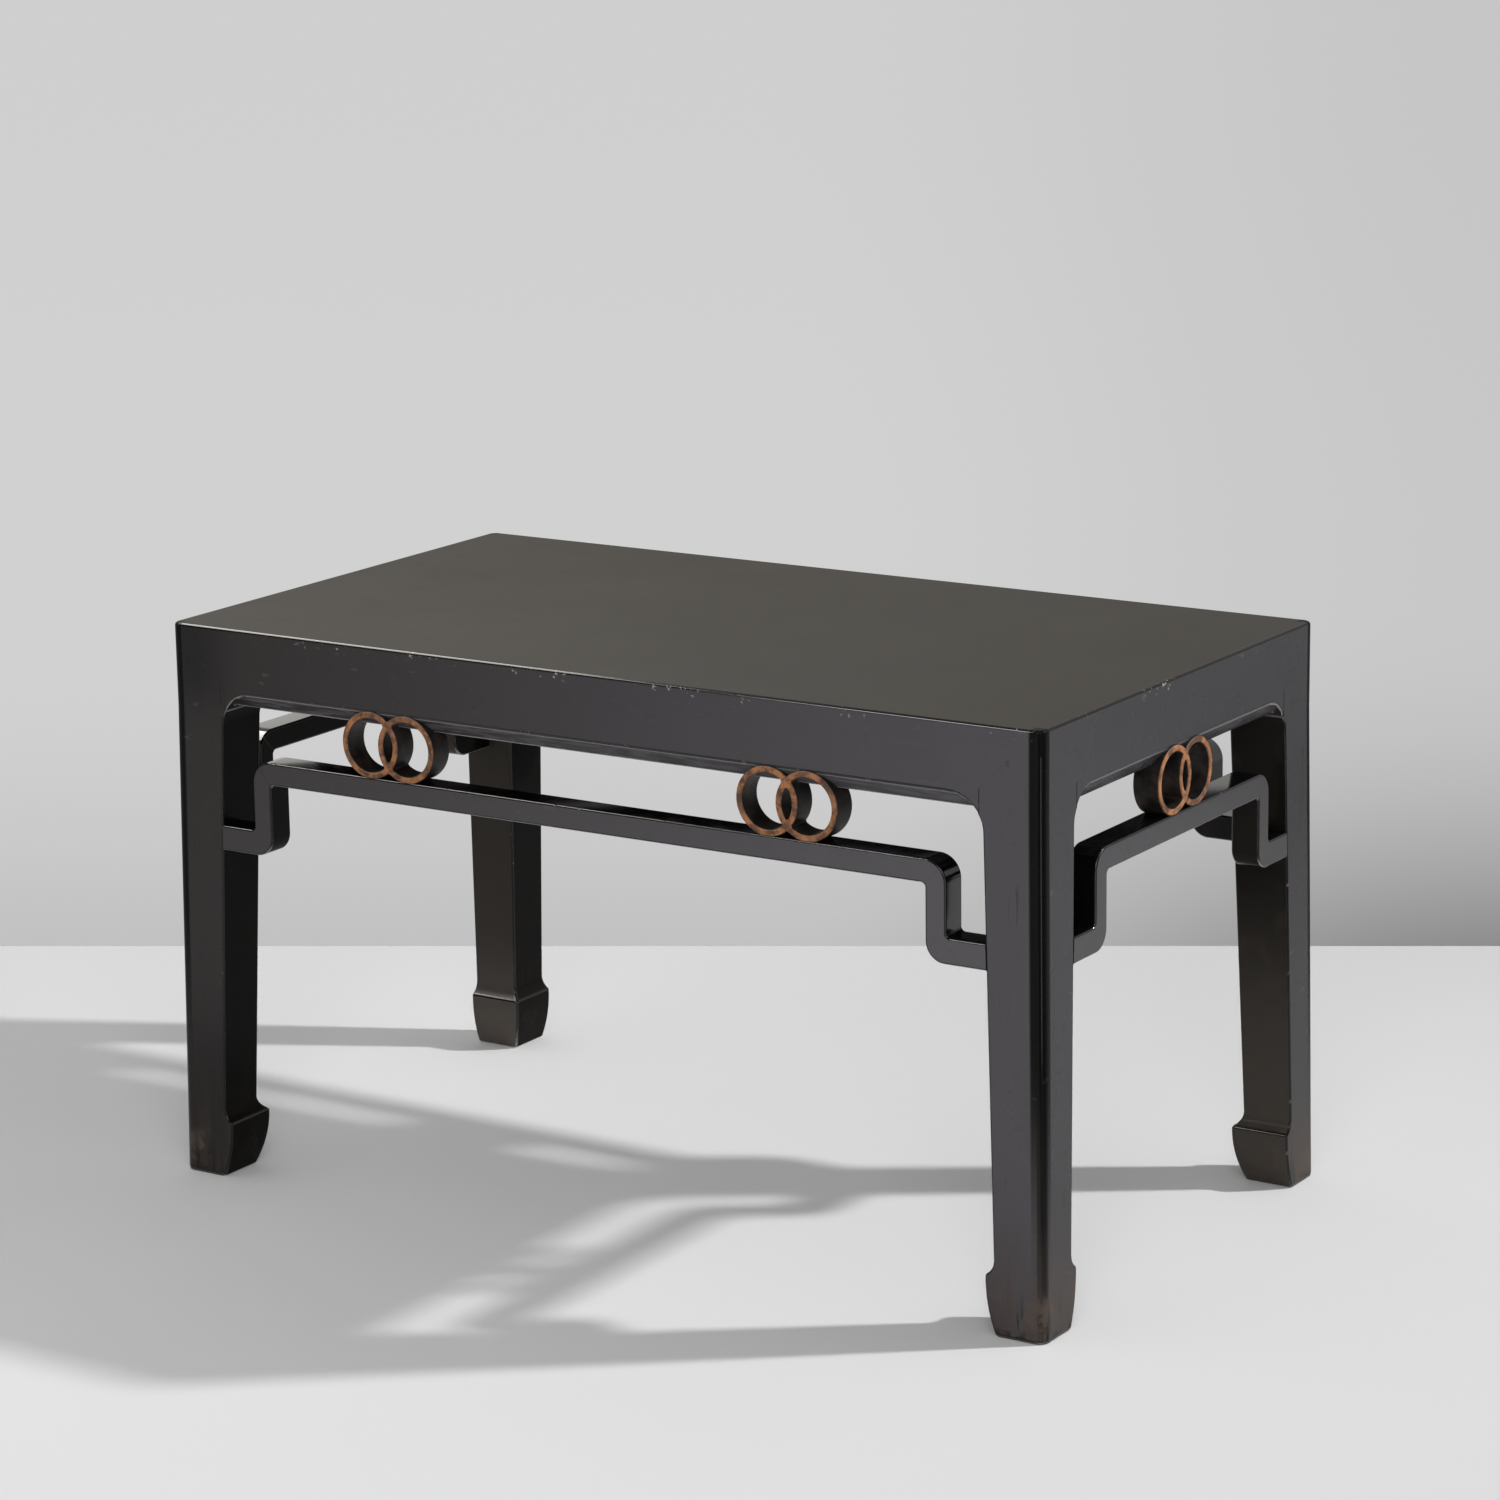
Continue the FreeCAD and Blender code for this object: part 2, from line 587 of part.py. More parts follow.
# Aprons
# The flat face is drawn in front of a thinner outline, and the bevel of the lower edge is
# the ruled face between the two. The mitred ends of the face lap over the legs.
def build_apron(side, opposite, axis):
    butt = REACHES[side] - s.shoulder_width
    tip = REACHES[side] - s.mitre_tip
    crown = butt - s.spandrel_run
    soffit = butt - s.soffit_run
    ends = [(butt, s.joint_knee), (tip, s.rail_bottom), (-tip, s.rail_bottom),
            (-butt, s.joint_knee)]
    face = [(-butt, s.joint_foot), (-crown, s.arris), (crown, s.arris), (butt, s.joint_foot)]
    underside = [(-butt, s.joint_foot), (-soffit, s.apron_bottom), (soffit, s.apron_bottom),
                 (butt, s.joint_foot)]
    tight = {0: -s.soffit_radius, 2: -s.soffit_radius}

    body = doc.addObject("PartDesign::Body", "apron_body_" + side)
    outer_sketch = new_sketch(body, PLANES[side], across(side, (ZERO, ZERO))[0])
    draw_outline(outer_sketch, face + ends, {0: -s.spandrel_radius, 2: -s.spandrel_radius})
    inner_sketch = new_sketch(body, PLANES[side], across(side, (s.edge_depth, s.edge_depth))[0])
    draw_outline(inner_sketch, underside + ends, tight)
    bevel = body.newObject("PartDesign::AdditiveLoft", "apron_bevel_" + side)
    bevel.Profile = outer_sketch
    bevel.Sections = [inner_sketch]
    bevel.Ruled = True
    add_prism(body, PLANES[side], across(side, (s.edge_depth, s.apron_thickness)),
              underside + [(butt, s.rail_bottom), (-butt, s.rail_bottom)], tight)

    tenons = [side_block(f"apron_tenon_{side}_{end}", side, along, apron_tenon_depths,
                         apron_tenon_levels)
              for end, along in both_ends(side, apron_tenon_tip, s.shoulder_width).items()]
    label = "apron_" + side
    apron = combine("Part::MultiFuse", label + "_with_tenons", [body] + tenons)
    tools = loose_mortises(label, side) + pin_holes(label, side, "upper", STRUTS[side])
    mirror("apron_" + opposite, keep(label, cut(label, apron, tools)), axis)


# Legs
# A leg is sawn to the same profile from two sides: its outer faces splay a little, its
# inner faces taper to the ankle and swell again in the hoof. Its two top tenons differ.
def leg_outline(side, end):
    """Inner profile of a leg at one end of a side, with wood to spare outside."""
    reach = REACHES[side]
    past = reach + s.leg_splay + s.overrun
    corners = [(past, ZERO), (past, s.rail_bottom), (reach - s.shoulder_width, s.rail_bottom),
               (reach - s.shoulder_width, s.joint_foot), (reach - s.leg_width, s.spring),
               (reach - s.ankle_width, s.ankle_height),
               (reach - s.ridge_width, s.ridge_height),
               (reach - s.sole_width, s.sole_chamfer),
               (reach - s.sole_width + s.sole_chamfer, ZERO)]
    bends = {3: -s.spandrel_radius, 5: -s.cove_radius, 6: s.hoof_radius}
    if end == "low":
        corners = [(-x, z) for x, z in corners]
        bends = {i: -radius for i, radius in bends.items()}
    return corners, bends


def leg_plan(splay):
    """Section of a leg's outer faces and rounded corner, splayed by some length."""
    x, y = s.half_length + splay, s.half_width + splay
    inner_x = s.half_length - s.shoulder_width - s.overrun
    inner_y = s.half_width - s.shoulder_width - s.overrun
    r = s.corner_radius
    return [(inner_x, -y), (x - r, -y), (x, r - y), (x, -inner_y), (inner_x, -inner_y)]


def leg_blank():
    """The leg as sawn from two sides, with its outer corner rounded and its sole eased."""
    depths = (-s.leg_splay - s.overrun, s.shoulder_width + s.overrun)
    profiles = [prism("leg_profile_" + side, PLANES[side], across(side, depths),
                      *leg_outline(side, end)) for side, end in (("front", "high"),
                                                                 ("right", "low"))]
    outside = doc.addObject("PartDesign::Body", "leg_outside")
    eased_splay = s.leg_splay * (s.joint_foot - s.sole_chamfer) / s.joint_foot
    sections = []
    for level, splay in ((ZERO, eased_splay - s.sole_chamfer), (s.sole_chamfer, eased_splay),
                         (s.joint_foot, ZERO), (s.rail_bottom, ZERO)):
        sections.append(new_sketch(outside, "XY_Plane", level))
        draw_outline(sections[-1], leg_plan(splay), {1: s.corner_radius})
    splayed = outside.newObject("PartDesign::AdditiveLoft", "leg_splayed")
    splayed.Profile = sections[0]
    splayed.Sections = sections[1:]
    splayed.Ruled = True
    return combine("Part::MultiCommon", "leg_sawn", profiles + [outside])


def build_legs():
    tenons = []
    tools = []
    for side, end in (("front", "high"), ("right", "low")):
        along = both_ends(side, *leg_tenon_stretch)[end]
        tenons.append(side_block("leg_tenon_" + side, side, along, leg_tenon_depths,
                                 (s.rail_bottom, s.rail_bottom + LEG_TENON_HEIGHTS[side])))
        past = s.shoulder_width + s.overrun
        along = both_ends(side, apron_tenon_tip - s.end_gap, past)[end]
        tools.append(side_block("leg_apron_mortise_" + side, side, along,
                                grow(apron_tenon_depths, s.cheek_gap),
                                grow(apron_tenon_levels, s.cheek_gap)))
        along = both_ends(side, crank_tenon_tip - s.end_gap, past)[end]
        tools.append(side_block("leg_crank_mortise_" + side, side, along,
                                grow(crank_tenon_depths, s.cheek_gap),
                                grow(crank_tenon_levels, s.cheek_gap)))
        # The apron's face laps over this part of the leg.
        lap = [(past, s.joint_knee), (s.shoulder_width, s.joint_knee),
               (s.mitre_tip, s.rail_bottom), (past, s.rail_bottom)]
        lap = [(REACHES[side] - depth, z) for depth, z in lap]
        if end == "low":
            lap = [(-x, z) for x, z in lap]
        tools.append(prism("leg_lap_" + side, PLANES[side],
                           across(side, (-s.overrun, s.edge_depth)), lap))
    lapped = cut("leg_lapped", leg_blank(), tools)
    leg = combine("Part::MultiFuse", "leg_front_right", [lapped] + tenons)
    mirror("leg_front_left", keep("leg_front_right", leg), "X")
    mirror("leg_back_left", mirror("leg_back_right", leg, "Y"), "X")


# Humpback stretchers
# A bar between two cranks, mitred at the upper bends with a hidden tenon. The foot of a
# crank is tenoned into the leg. The bends are rounded outside and inside.
def stretcher_outline(side):
    reach = REACHES[side]
    outside, inside = reach - s.crank_setback, reach - s.riser_inside
    bend, shoulder, heel = s.inner_round, s.shoulder_round, s.heel_round
    half = [(outside - shoulder, s.bar_top), (outside, s.bar_top - shoulder),
            (outside, s.crank_foot_top + bend), (outside + bend, s.crank_foot_top),
            (reach - inner_face(s.crank_foot_top), s.crank_foot_top),
            (reach - inner_face(s.crank_foot_bottom), s.crank_foot_bottom),
            (inside + heel, s.crank_foot_bottom), (inside, s.crank_foot_bottom + heel),
            (inside, s.bar_bottom - bend), (inside - bend, s.bar_bottom)]
    bends = {0: -shoulder, 2: bend, 6: -heel, 8: bend}
    last = len(half) - 1
    opposite = {2 * last - i: radius for i, radius in bends.items()}
    return half + [(-x, z) for x, z in reversed(half)], bends | opposite


def build_stretcher(side, opposite, ends, axes):
    reach = REACHES[side]
    outside, inside = reach - s.crank_setback, reach - s.riser_inside
    upper = (outside + s.riser_width, s.bar_top + s.bar_height)
    lower = (inside - s.riser_width, s.bar_bottom - s.bar_height)
    whole = prism("stretcher_" + side, PLANES[side], across(side, stretcher_depths),
                  *stretcher_outline(side))
    past = across(side, grow(stretcher_depths, s.overrun))
    high_end, low_end = ends
    along_axis, across_axis = axes

    label = "stretcher_bar_" + side
    zone = prism(label + "_zone", PLANES[side], past,
                 [upper, (-upper[0], upper[1]), (-lower[0], lower[1]), lower])
    blank = combine("Part::MultiCommon", label + "_blank", [whole, zone])
    tenons = [side_block(f"{label}_tenon_{end}", side, along, bar_tenon_depths,
                         bar_tenon_levels)
              for end, along in both_ends(side, bar_tenon_tip, s.riser_inside).items()]
    bar = combine("Part::MultiFuse", label + "_with_tenons", [blank] + tenons)
    bar = keep(label, cut(label, bar, pin_holes(label, side, "lower", STRUTS[side])))
    mirror("stretcher_bar_" + opposite, bar, across_axis)

    label = f"crank_{side}_{high_end}"
    foot = s.crank_foot_bottom - s.overrun
    zone = prism(label + "_zone", PLANES[side], past,
                 [upper, lower, (lower[0], foot), (reach, foot), (reach, upper[1])])
    blank = combine("Part::MultiCommon", label + "_blank", [whole, zone])
    along = both_ends(side, crank_tenon_tip, s.shoulder_width)["high"]
    tenon = side_block(label + "_tenon", side, along, crank_tenon_depths, crank_tenon_levels)
    crank = combine("Part::MultiFuse", label + "_with_tenon", [blank, tenon])
    along = both_ends(side, bar_tenon_tip - s.end_gap, s.riser_inside + s.overrun)["high"]
    mortise = side_block(label + "_mortise", side, along, grow(bar_tenon_depths, s.cheek_gap),
                         grow(bar_tenon_levels, s.cheek_gap))
    crank = keep(label, cut(label, crank, [mortise]))
    mirror(f"crank_{opposite}_{high_end}", crank, across_axis)
    other = mirror(f"crank_{side}_{low_end}", crank, along_axis)
    mirror(f"crank_{opposite}_{low_end}", other, across_axis)


# Ring struts
# Each strut is two interlocked rings carved from one block. It is notched over the bevel
# of the apron, stands on a flat on the bar, and is held by bamboo pins above and below.
def ring_strut(side, middle, label):
    body = doc.addObject("PartDesign::Body", label + "_rings")
    low, high = across(side, (-s.stretcher_proud, s.ring_depth - s.stretcher_proud))
    for place in (middle - s.ring_offset, middle + s.ring_offset):
        sketch = new_sketch(body, PLANES[side], high if side == "front" else low)
        draw_circle(sketch, place, s.ring_height, s.ring_radius)
        draw_circle(sketch, place, s.ring_height, s.bore_radius)
        pad = add_pad(body, sketch, s.ring_depth)
    doc.recompute()
    crossings = []
    for i, edge in enumerate(pad.Shape.Edges):
        first, last = edge.Vertexes[0], edge.Vertexes[-1]
        is_level = abs(last.Z - first.Z) < TOLERANCE and isinstance(edge.Curve, Part.Line)
        if is_level and abs(first.Z - s.ring_height.value) > s.ring_wall.value:
            crossings.append(f"Edge{i + 1}")
    rounding = body.newObject("PartDesign::Fillet", label + "_crossings")
    rounding.Base = (pad, crossings)
    bind(rounding, "Radius", s.ring_fillet)
    body.Tip = rounding

    width = s.ring_offset + s.ring_diameter + s.ring_offset
    seat = side_block(label + "_seat", side, centred(middle, width),
                      grow(stretcher_depths, s.overrun), (s.bar_bottom, s.bar_top))
    tools = [pieces["apron_" + side], seat]
    tools += pin_holes(label, side, "upper", [middle]) + pin_holes(label, side, "lower", [middle])
    return keep(label, cut(label, body, tools))


def build_struts():
    strut = ring_strut("front", STRUTS["front"][1], "ring_strut_front_right")
    mirror("ring_strut_front_left", strut, "X")
    mirror("ring_strut_back_left", mirror("ring_strut_back_right", strut, "Y"), "X")
    strut = ring_strut("right", STRUTS["right"][0], "ring_strut_right")
    mirror("ring_strut_left", strut, "X")


# Loose fastenings
def build_fastenings():
    """Bamboo pins of the struts, and loose tenons between the aprons and the frame."""
    members = {"strut_pins": [], "loose_tenons": []}
    for side, axis in (("front", "Y"), ("right", "X")):
        rods = [rod for row in PIN_ROWS
                for rod in pins("pin_" + side, side, row, STRUTS[side], s.pin_diameter / 2)]
        slips = [side_block(f"loose_tenon_{side}_{i}", side,
                            centred(place, s.loose_tenon_width), loose_tenon_depths,
                            loose_tenon_levels) for i, place in enumerate(LOOSE_TENONS[side])]
        for label, solids in (("strut_pins", rods), ("loose_tenons", slips)):
            row_of_solids = doc.addObject("Part::Compound", f"{label}_{side}")
            row_of_solids.Links = solids
            opposite = mirror_image(f"{label}_{side}_opposite", row_of_solids, axis)
            members[label] += [row_of_solids, opposite]
    for label, rows in members.items():
        bundle = doc.addObject("Part::Compound", label)
        bundle.Links = rows
        keep(label, bundle)


build_frame()
build_boards()
build_braces()
build_apron("front", "back", "Y")
build_apron("right", "left", "X")
build_legs()
build_stretcher("front", "back", ("right", "left"), ("X", "Y"))
build_stretcher("right", "left", ("back", "front"), ("Y", "X"))
build_struts()
build_fastenings()
doc.recompute()

for thing in doc.Objects:
    if "Invalid" in thing.State or "Error" in thing.State:
        raise RuntimeError(f"{thing.Label} failed: {thing.State}")
for label, piece in pieces.items():
    if piece.Shape.isNull() or not piece.Shape.isValid():
        raise RuntimeError(f"{label} has no valid shape")

os.makedirs("parts", exist_ok=True)
for label, piece in pieces.items():
    piece.Shape.exportStep(f"parts/{label}.step")
    print(f"{label}: {len(piece.Shape.Solids)} solid(s), {piece.Shape.Volume:.0f} mm3")
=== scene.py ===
import math

import bmesh
import bpy
from mathutils import Matrix, Vector
from mathutils.bvhtree import BVHTree


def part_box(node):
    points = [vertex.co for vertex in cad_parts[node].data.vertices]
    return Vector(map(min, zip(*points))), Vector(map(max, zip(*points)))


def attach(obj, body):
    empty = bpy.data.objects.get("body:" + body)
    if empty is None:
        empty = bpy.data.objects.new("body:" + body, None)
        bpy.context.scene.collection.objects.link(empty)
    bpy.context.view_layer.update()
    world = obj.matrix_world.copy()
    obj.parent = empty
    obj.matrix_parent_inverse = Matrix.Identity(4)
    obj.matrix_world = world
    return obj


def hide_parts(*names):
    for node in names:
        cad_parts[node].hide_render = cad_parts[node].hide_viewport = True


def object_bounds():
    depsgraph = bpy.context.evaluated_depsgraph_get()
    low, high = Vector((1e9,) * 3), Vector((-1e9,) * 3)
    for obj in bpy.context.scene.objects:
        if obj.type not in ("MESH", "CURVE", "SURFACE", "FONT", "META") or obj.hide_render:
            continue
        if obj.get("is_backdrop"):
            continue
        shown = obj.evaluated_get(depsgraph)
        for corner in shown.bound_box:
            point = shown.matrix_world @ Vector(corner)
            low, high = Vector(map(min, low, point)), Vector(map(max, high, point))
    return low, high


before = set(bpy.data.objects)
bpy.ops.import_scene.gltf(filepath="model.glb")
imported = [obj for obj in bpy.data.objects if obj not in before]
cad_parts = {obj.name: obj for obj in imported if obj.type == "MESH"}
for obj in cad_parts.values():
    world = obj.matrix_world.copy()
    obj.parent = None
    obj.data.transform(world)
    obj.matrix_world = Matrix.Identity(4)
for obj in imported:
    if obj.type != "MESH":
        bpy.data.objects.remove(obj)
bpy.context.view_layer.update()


# Legs. Four square posts of close-grained wood with hoof feet, each mitred into the aprons at
# its shoulders. Black lacquer over a brown ground, rubbed bright on the arrises, thin and dull on
# the inner faces, and worn through to the ground on the hooves.
HALF_LENGTH, HALF_WIDTH = 0.450, 0.250  # of the top, whose edge the legs' outer faces continue
SPLAY_BELOW, SPLAY = 0.44, 0.0136       # the height where the legs start to lean out, and the lean
FOOT_WEAR = 0.13                        # how high above the floor the hooves are worn
DARK_CORNER_BAND = 0.0135, 0.0105            # how far from the edge the painted dark reflection of a corner fades out


class Coat:
    """One value that varies over a finish. Sums of coats add the nodes that work them out."""

    def __init__(self, finish, socket):
        self.finish = finish
        self.socket = socket

    def worked(self, operation, *values):
        return self.finish.add("ShaderNodeMath", {"operation": operation}, dict(enumerate(values)))

    def __add__(self, other):
        return self.worked("ADD", self, other)

    def __sub__(self, other):
        return self.worked("SUBTRACT", self, other)

    def __rsub__(self, other):
        return self.worked("SUBTRACT", other, self)

    def __mul__(self, other):
        return self.worked("MULTIPLY", self, other)

    def __truediv__(self, other):
        return self.worked("DIVIDE", self, other)

    def __rtruediv__(self, other):
        return self.worked("DIVIDE", other, self)

    def __pow__(self, other):
        return self.worked("POWER", self, other)

    def __abs__(self):
        return self.worked("ABSOLUTE", self)

    __radd__ = __add__
    __rmul__ = __mul__

    def sign(self):
        return self.worked("SIGN", self)

    def least(self, other):
        return self.worked("MINIMUM", self, other)

    def most(self, other):
        return self.worked("MAXIMUM", self, other)

    def rise(self, low, high):
        """0 below low and 1 above high, with a soft step between, or the other way round."""
        settings = {"interpolation_type": "SMOOTHSTEP"}
        values = {"Value": self, "From Min": low, "From Max": high}
        return self.finish.add("ShaderNodeMapRange", settings, values)


def rgb(red, green, blue):
    return (red, green, blue, 1.0)


class Finish:
    """A material that is put on coat by coat, or the air that lights the studio."""

    def __init__(self, owner, space="Object"):
        owner.use_nodes = True
        self.owner = owner
        self.tree = owner.node_tree
        self.tree.nodes.clear()
        self.place = self.add("ShaderNodeTexCoord", output=space)
        self.across, self.along, self.up = self.parts(self.place)
        self.faces = self.add("ShaderNodeNewGeometry", output="True Normal")
        self.facing = self.parts(self.faces)

    def add(self, kind, settings=None, values=None, output=0):
        """A node: its settings come first, then the values or links of its sockets."""
        node = self.tree.nodes.new(kind)
        for name, setting in (settings or {}).items():
            setattr(node, name, setting)
        for name, value in (values or {}).items():
            if isinstance(value, Coat):
                self.tree.links.new(value.socket, node.inputs[name])
            else:
                node.inputs[name].default_value = value
        if isinstance(output, tuple):
            return [Coat(self, node.outputs[name]) for name in output]
        return Coat(self, node.outputs[output]) if len(node.outputs) else node

    def parts(self, vector):
        return self.add("ShaderNodeSeparateXYZ", {}, {0: vector}, ("X", "Y", "Z"))

    def cloud(self, size, detail=3.0, stretch=(1.0, 1.0, 1.0), rough=0.5):
        """Soft noise whose blotches are about the given size in metres."""
        laid = self.add("ShaderNodeVectorMath", {"operation": "MULTIPLY"},
                        {0: self.place, 1: stretch})
        values = {"Vector": laid, "Scale": 1.0 / size, "Detail": detail, "Roughness": rough}
        return self.add("ShaderNodeTexNoise", {}, values)

    def mixed(self, share, first, second):
        """A colour that goes from the first to the second as the share goes from 0 to 1."""
        settings = {"data_type": "RGBA", "clamp_factor": True}
        values = {0: share, 6: first, 7: second}
        return self.add("ShaderNodeMix", settings, values, 2)

    def relief(self, height):
        """Bumps in the surface, as high as the given number of millimetres."""
        return self.add("ShaderNodeBump", {}, {"Height": height, "Distance": 0.001})

    def skin(self, colour, roughness, bend, relief=None):
        """A surface. Bend is how strongly it turns light, and so how brightly it shines."""
        values = {"Base Color": colour, "Roughness": roughness, "IOR": bend}
        if relief:
            values["Normal"] = relief
        return self.add("ShaderNodeBsdfPrincipled", {}, values)

    def shell(self, surface):
        """The last coat: what the light meets."""
        self.add("ShaderNodeOutputMaterial", {}, {"Surface": surface})
        return self.owner


class Lacquer(Finish):
    """Black lacquer, grey on the flats with a haze and with a painted sheen over it that stands in
    for the reflected floor, and deep and bright where hands have rubbed it.

    The painted sheen is darker and warmer at the table's left end and paler and cooler at its
    right end. Inside the table a single thin coat lies over the brown ground."""

    DEEP = rgb(0.003, 0.0027, 0.003)
    RUBBED = 0.10

    def __init__(self, name, grain, gloss=0.27):
        super().__init__(bpy.data.materials.new(name))
        self.blotch = self.cloud(0.11, 4.0)
        streak = self.cloud(0.004, 3.0, grain)
        self.bumps = self.relief(self.cloud(0.05, 2.0) * 0.10 + streak * 0.008)
        # A ramp from 0 at the table's left end to 1 at its right.
        self.rightward = self.across.rise(-0.47, 0.48)
        self.low = self.up.rise(0.20, 0.06)
        self.corner = self.dark_corner_band()
        self.sheen_and_bloom = self.sheen_and_bloom_colour()
        outer = self.outside()
        coated = outer * (0.80 + self.blotch * 0.25 + streak * 0.15)
        self.colour = self.mixed(coated, self.DEEP, self.sheen_and_bloom)
        self.roughness = self.RUBBED + outer * (gloss - self.RUBBED)
        self.roughness = self.roughness + self.blotch.rise(0.4, 0.7) * 0.04
        nicks = self.cloud(0.008, 3.0, (0.4, 0.4, 1)).rise(0.67, 0.72)
        nicks = nicks * self.cloud(0.09, 2.0).rise(0.5, 0.65)
        self.over(nicks * 0.5, rgb(0.085, 0.080, 0.082))
        self.inner_faces()

    def to_edge(self):
        """How far a point lies in from the table's ends and from its sides."""
        splay = (SPLAY_BELOW - self.up).most(0.0) * SPLAY
        return HALF_LENGTH + splay - abs(self.across), HALF_WIDTH + splay - abs(self.along)

    def dark_corner_band(self):
        """1 on the table's upright outer corners, where a dark reflection is painted, and less
        towards the feet.
        """
        end, side = self.to_edge()
        return end.rise(*DARK_CORNER_BAND) * side.rise(*DARK_CORNER_BAND) * self.up.rise(0.03, 0.26)

    def outside(self):
        """1 on the flats that look straight out of the table, short of arrises and curves."""
        end, side = self.to_edge()
        facing = [abs(part) for part in self.facing[:2]]
        ends = end.rise(0.06, 0.04) * facing[0].rise(0.7, 0.9)
        sides = side.rise(0.05, 0.035) * facing[1].rise(0.7, 0.9)
        flat = facing[0].most(facing[1]).rise(0.93, 0.998)
        return flat * ends.most(sides) * (1.0 - self.corner)

    def inward(self):
        """1 on faces that look in under the table, and 0 on its outside."""
        end = self.across.sign() * self.facing[0]
        side = self.along.sign() * self.facing[1]
        return (0.0 - end.least(side)).rise(0.3, 0.7)

    def sheen_and_bloom_colour(self):
        """The grey haze with a painted sheen over it that stands in for the reflected floor, warm
        and dark at the left and cool and pale at the right. Painted shade darkens it on the end
        faces and near the floor, and hides nearly all of it at the top's left end."""
        # Painted sheen for the floor seen in the flats: dark and warm at the left, pale and cool
        # at the right.
        sheen_and_bloom = self.mixed(self.rightward, rgb(0.028, 0.024, 0.023), rgb(0.074, 0.069, 0.077))
        # Painted shade over the sheen at the upper left end of the table.
        left_end_shade = self.across.rise(-0.36, -0.43) * self.up.rise(0.42, 0.48)
        sheen_and_bloom = self.mixed(left_end_shade * 0.85, sheen_and_bloom, rgb(0.008, 0.007, 0.007))
        # Painted shade on the end faces, deeper towards the back and low down.
        back, down = self.along.rise(-0.2, 0.25), self.up.rise(0.5, 0.2)
        end = abs(self.facing[0]).rise(0.6, 0.9) * (0.57 + back * 0.16 + down * 0.10)
        sheen_and_bloom = self.mixed(end, sheen_and_bloom, rgb(0.012, 0.012, 0.013))
        # Painted shade near the floor, deeper at the left.
        return self.mixed(self.low * (0.75 - self.rightward * 0.65), sheen_and_bloom, rgb(0.005, 0.004, 0.004))

    def inner_faces(self):
        """The brown ground under the thin inner coat, barest low down and on forward faces."""
        self.forward = (0.0 - self.facing[1]).rise(0.3, 0.7)
        self.bare = self.cloud(0.035, 5.0).rise(0.50, 0.70) * (0.25 + self.low * 0.45)
        # Paler low down and towards the left end.
        pale_share = self.up.rise(0.32, 0.10).most(1.0 - self.rightward)
        dull = self.mixed(pale_share, rgb(0.009, 0.0075, 0.006), rgb(0.050, 0.044, 0.038))
        self.ground = self.mixed(self.forward, rgb(0.003, 0.0025, 0.002), dull)
        self.under(self.bare * self.forward, rgb(0.060, 0.045, 0.036))
        self.dry = self.inward() * 0.9

    def over(self, share, colour):
        """Something that lies on the lacquer, where its share is above 0."""
        self.colour = self.mixed(share, self.colour, colour)

    def under(self, share, colour):
        """Something that lies on the ground, where its share is above 0."""
        self.ground = self.mixed(share, self.ground, colour)

    def dried(self, bend=1.33):
        """The finished material: glossy lacquer, and matt ground where it is thin or dry, and a
        deep black matt painted on the upright corners as a dark reflection.
        """
        # Painted dark reflection down the upright corners: deep black, mostly matt.
        self.under(self.corner, self.DEEP)
        lacquer = self.skin(self.colour, self.roughness, bend, self.bumps)
        matt = self.skin(self.ground, 0.55 + self.bare * 0.2, 1.12, self.bumps)
        share = self.dry.most(self.corner * 0.72)
        return self.shell(self.add("ShaderNodeMixShader", {}, {0: share, 1: lacquer, 2: matt}))


def trodden(coat):
    """Hooves kicked and mopped through to the ground, and split where they stand."""
    worn = coat.up.rise(FOOT_WEAR, 0.01)
    strands = coat.cloud(0.007, 4.0, (1, 1, 0.12))
    checks = abs(coat.cloud(0.022, 2.0, (1, 1, 0.07)) - 0.5).rise(0.009, 0.003)
    checks = checks * coat.cloud(0.07, 2.0).rise(0.54, 0.62)
    coat.over(checks * 0.45, rgb(0.006, 0.005, 0.005))
    thin = worn * (0.35 + strands.rise(0.35, 0.65) * 0.65)
    coat.over(thin * (0.45 + coat.rightward * 0.3), rgb(0.052, 0.037, 0.029))
    patch = coat.cloud(0.03, 5.0, rough=0.6).rise(0.50, 0.62) * coat.up.rise(0.05, 0.03)
    coat.over(patch * 0.7, rgb(0.085, 0.062, 0.048))
    splits = strands.rise(0.44, 0.38) * coat.up.rise(0.055, 0.0)
    sole = coat.cloud(0.008, 4.0).rise(0.45, 0.6) * coat.up.rise(0.012, 0.002)
    coat.over(splits.most(sole) * 0.9, rgb(0.006, 0.005, 0.004))
    coat.roughness = coat.roughness + thin * 0.12 + patch * 0.2
    coat.under(worn * (0.8 - coat.rightward * 0.75) * coat.forward, rgb(0.100, 0.086, 0.076))
    return coat


def rubbed_arris(name, gloss):
    """Arrises rubbed to a deep gloss, with small chips down to the brown ground, and a painted
    pale reflection on those that face down.
    """
    coat = Finish(bpy.data.materials.new(name))
    chips = coat.cloud(0.006, 4.0).rise(0.60, 0.68) * coat.cloud(0.05, 2.0).rise(0.45, 0.6)
    colour = coat.mixed(chips, rgb(0.006, 0.0055, 0.006), rgb(0.10, 0.062, 0.040))
    # Painted reflection: arrises that face down are painted pale grey, for the pale backdrop seen
    # in them.
    pale_share = coat.facing[2].rise(-0.25, -0.6)
    colour = coat.mixed(pale_share * 0.8, colour, rgb(0.30, 0.29, 0.285))
    return coat.shell(coat.skin(colour, gloss + chips * 0.4, 1.4, coat.relief(chips * -0.3)))


ARRIS = rubbed_arris("rubbed_arris", 0.15)
BARE = dict(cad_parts)
SKINS = {}
for name, node in BARE.items():
    points = [vertex.co.copy() for vertex in node.data.vertices]
    skin = BVHTree.FromPolygons(points, [list(face.vertices) for face in node.data.polygons])
    SKINS[name] = (skin, *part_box(name))

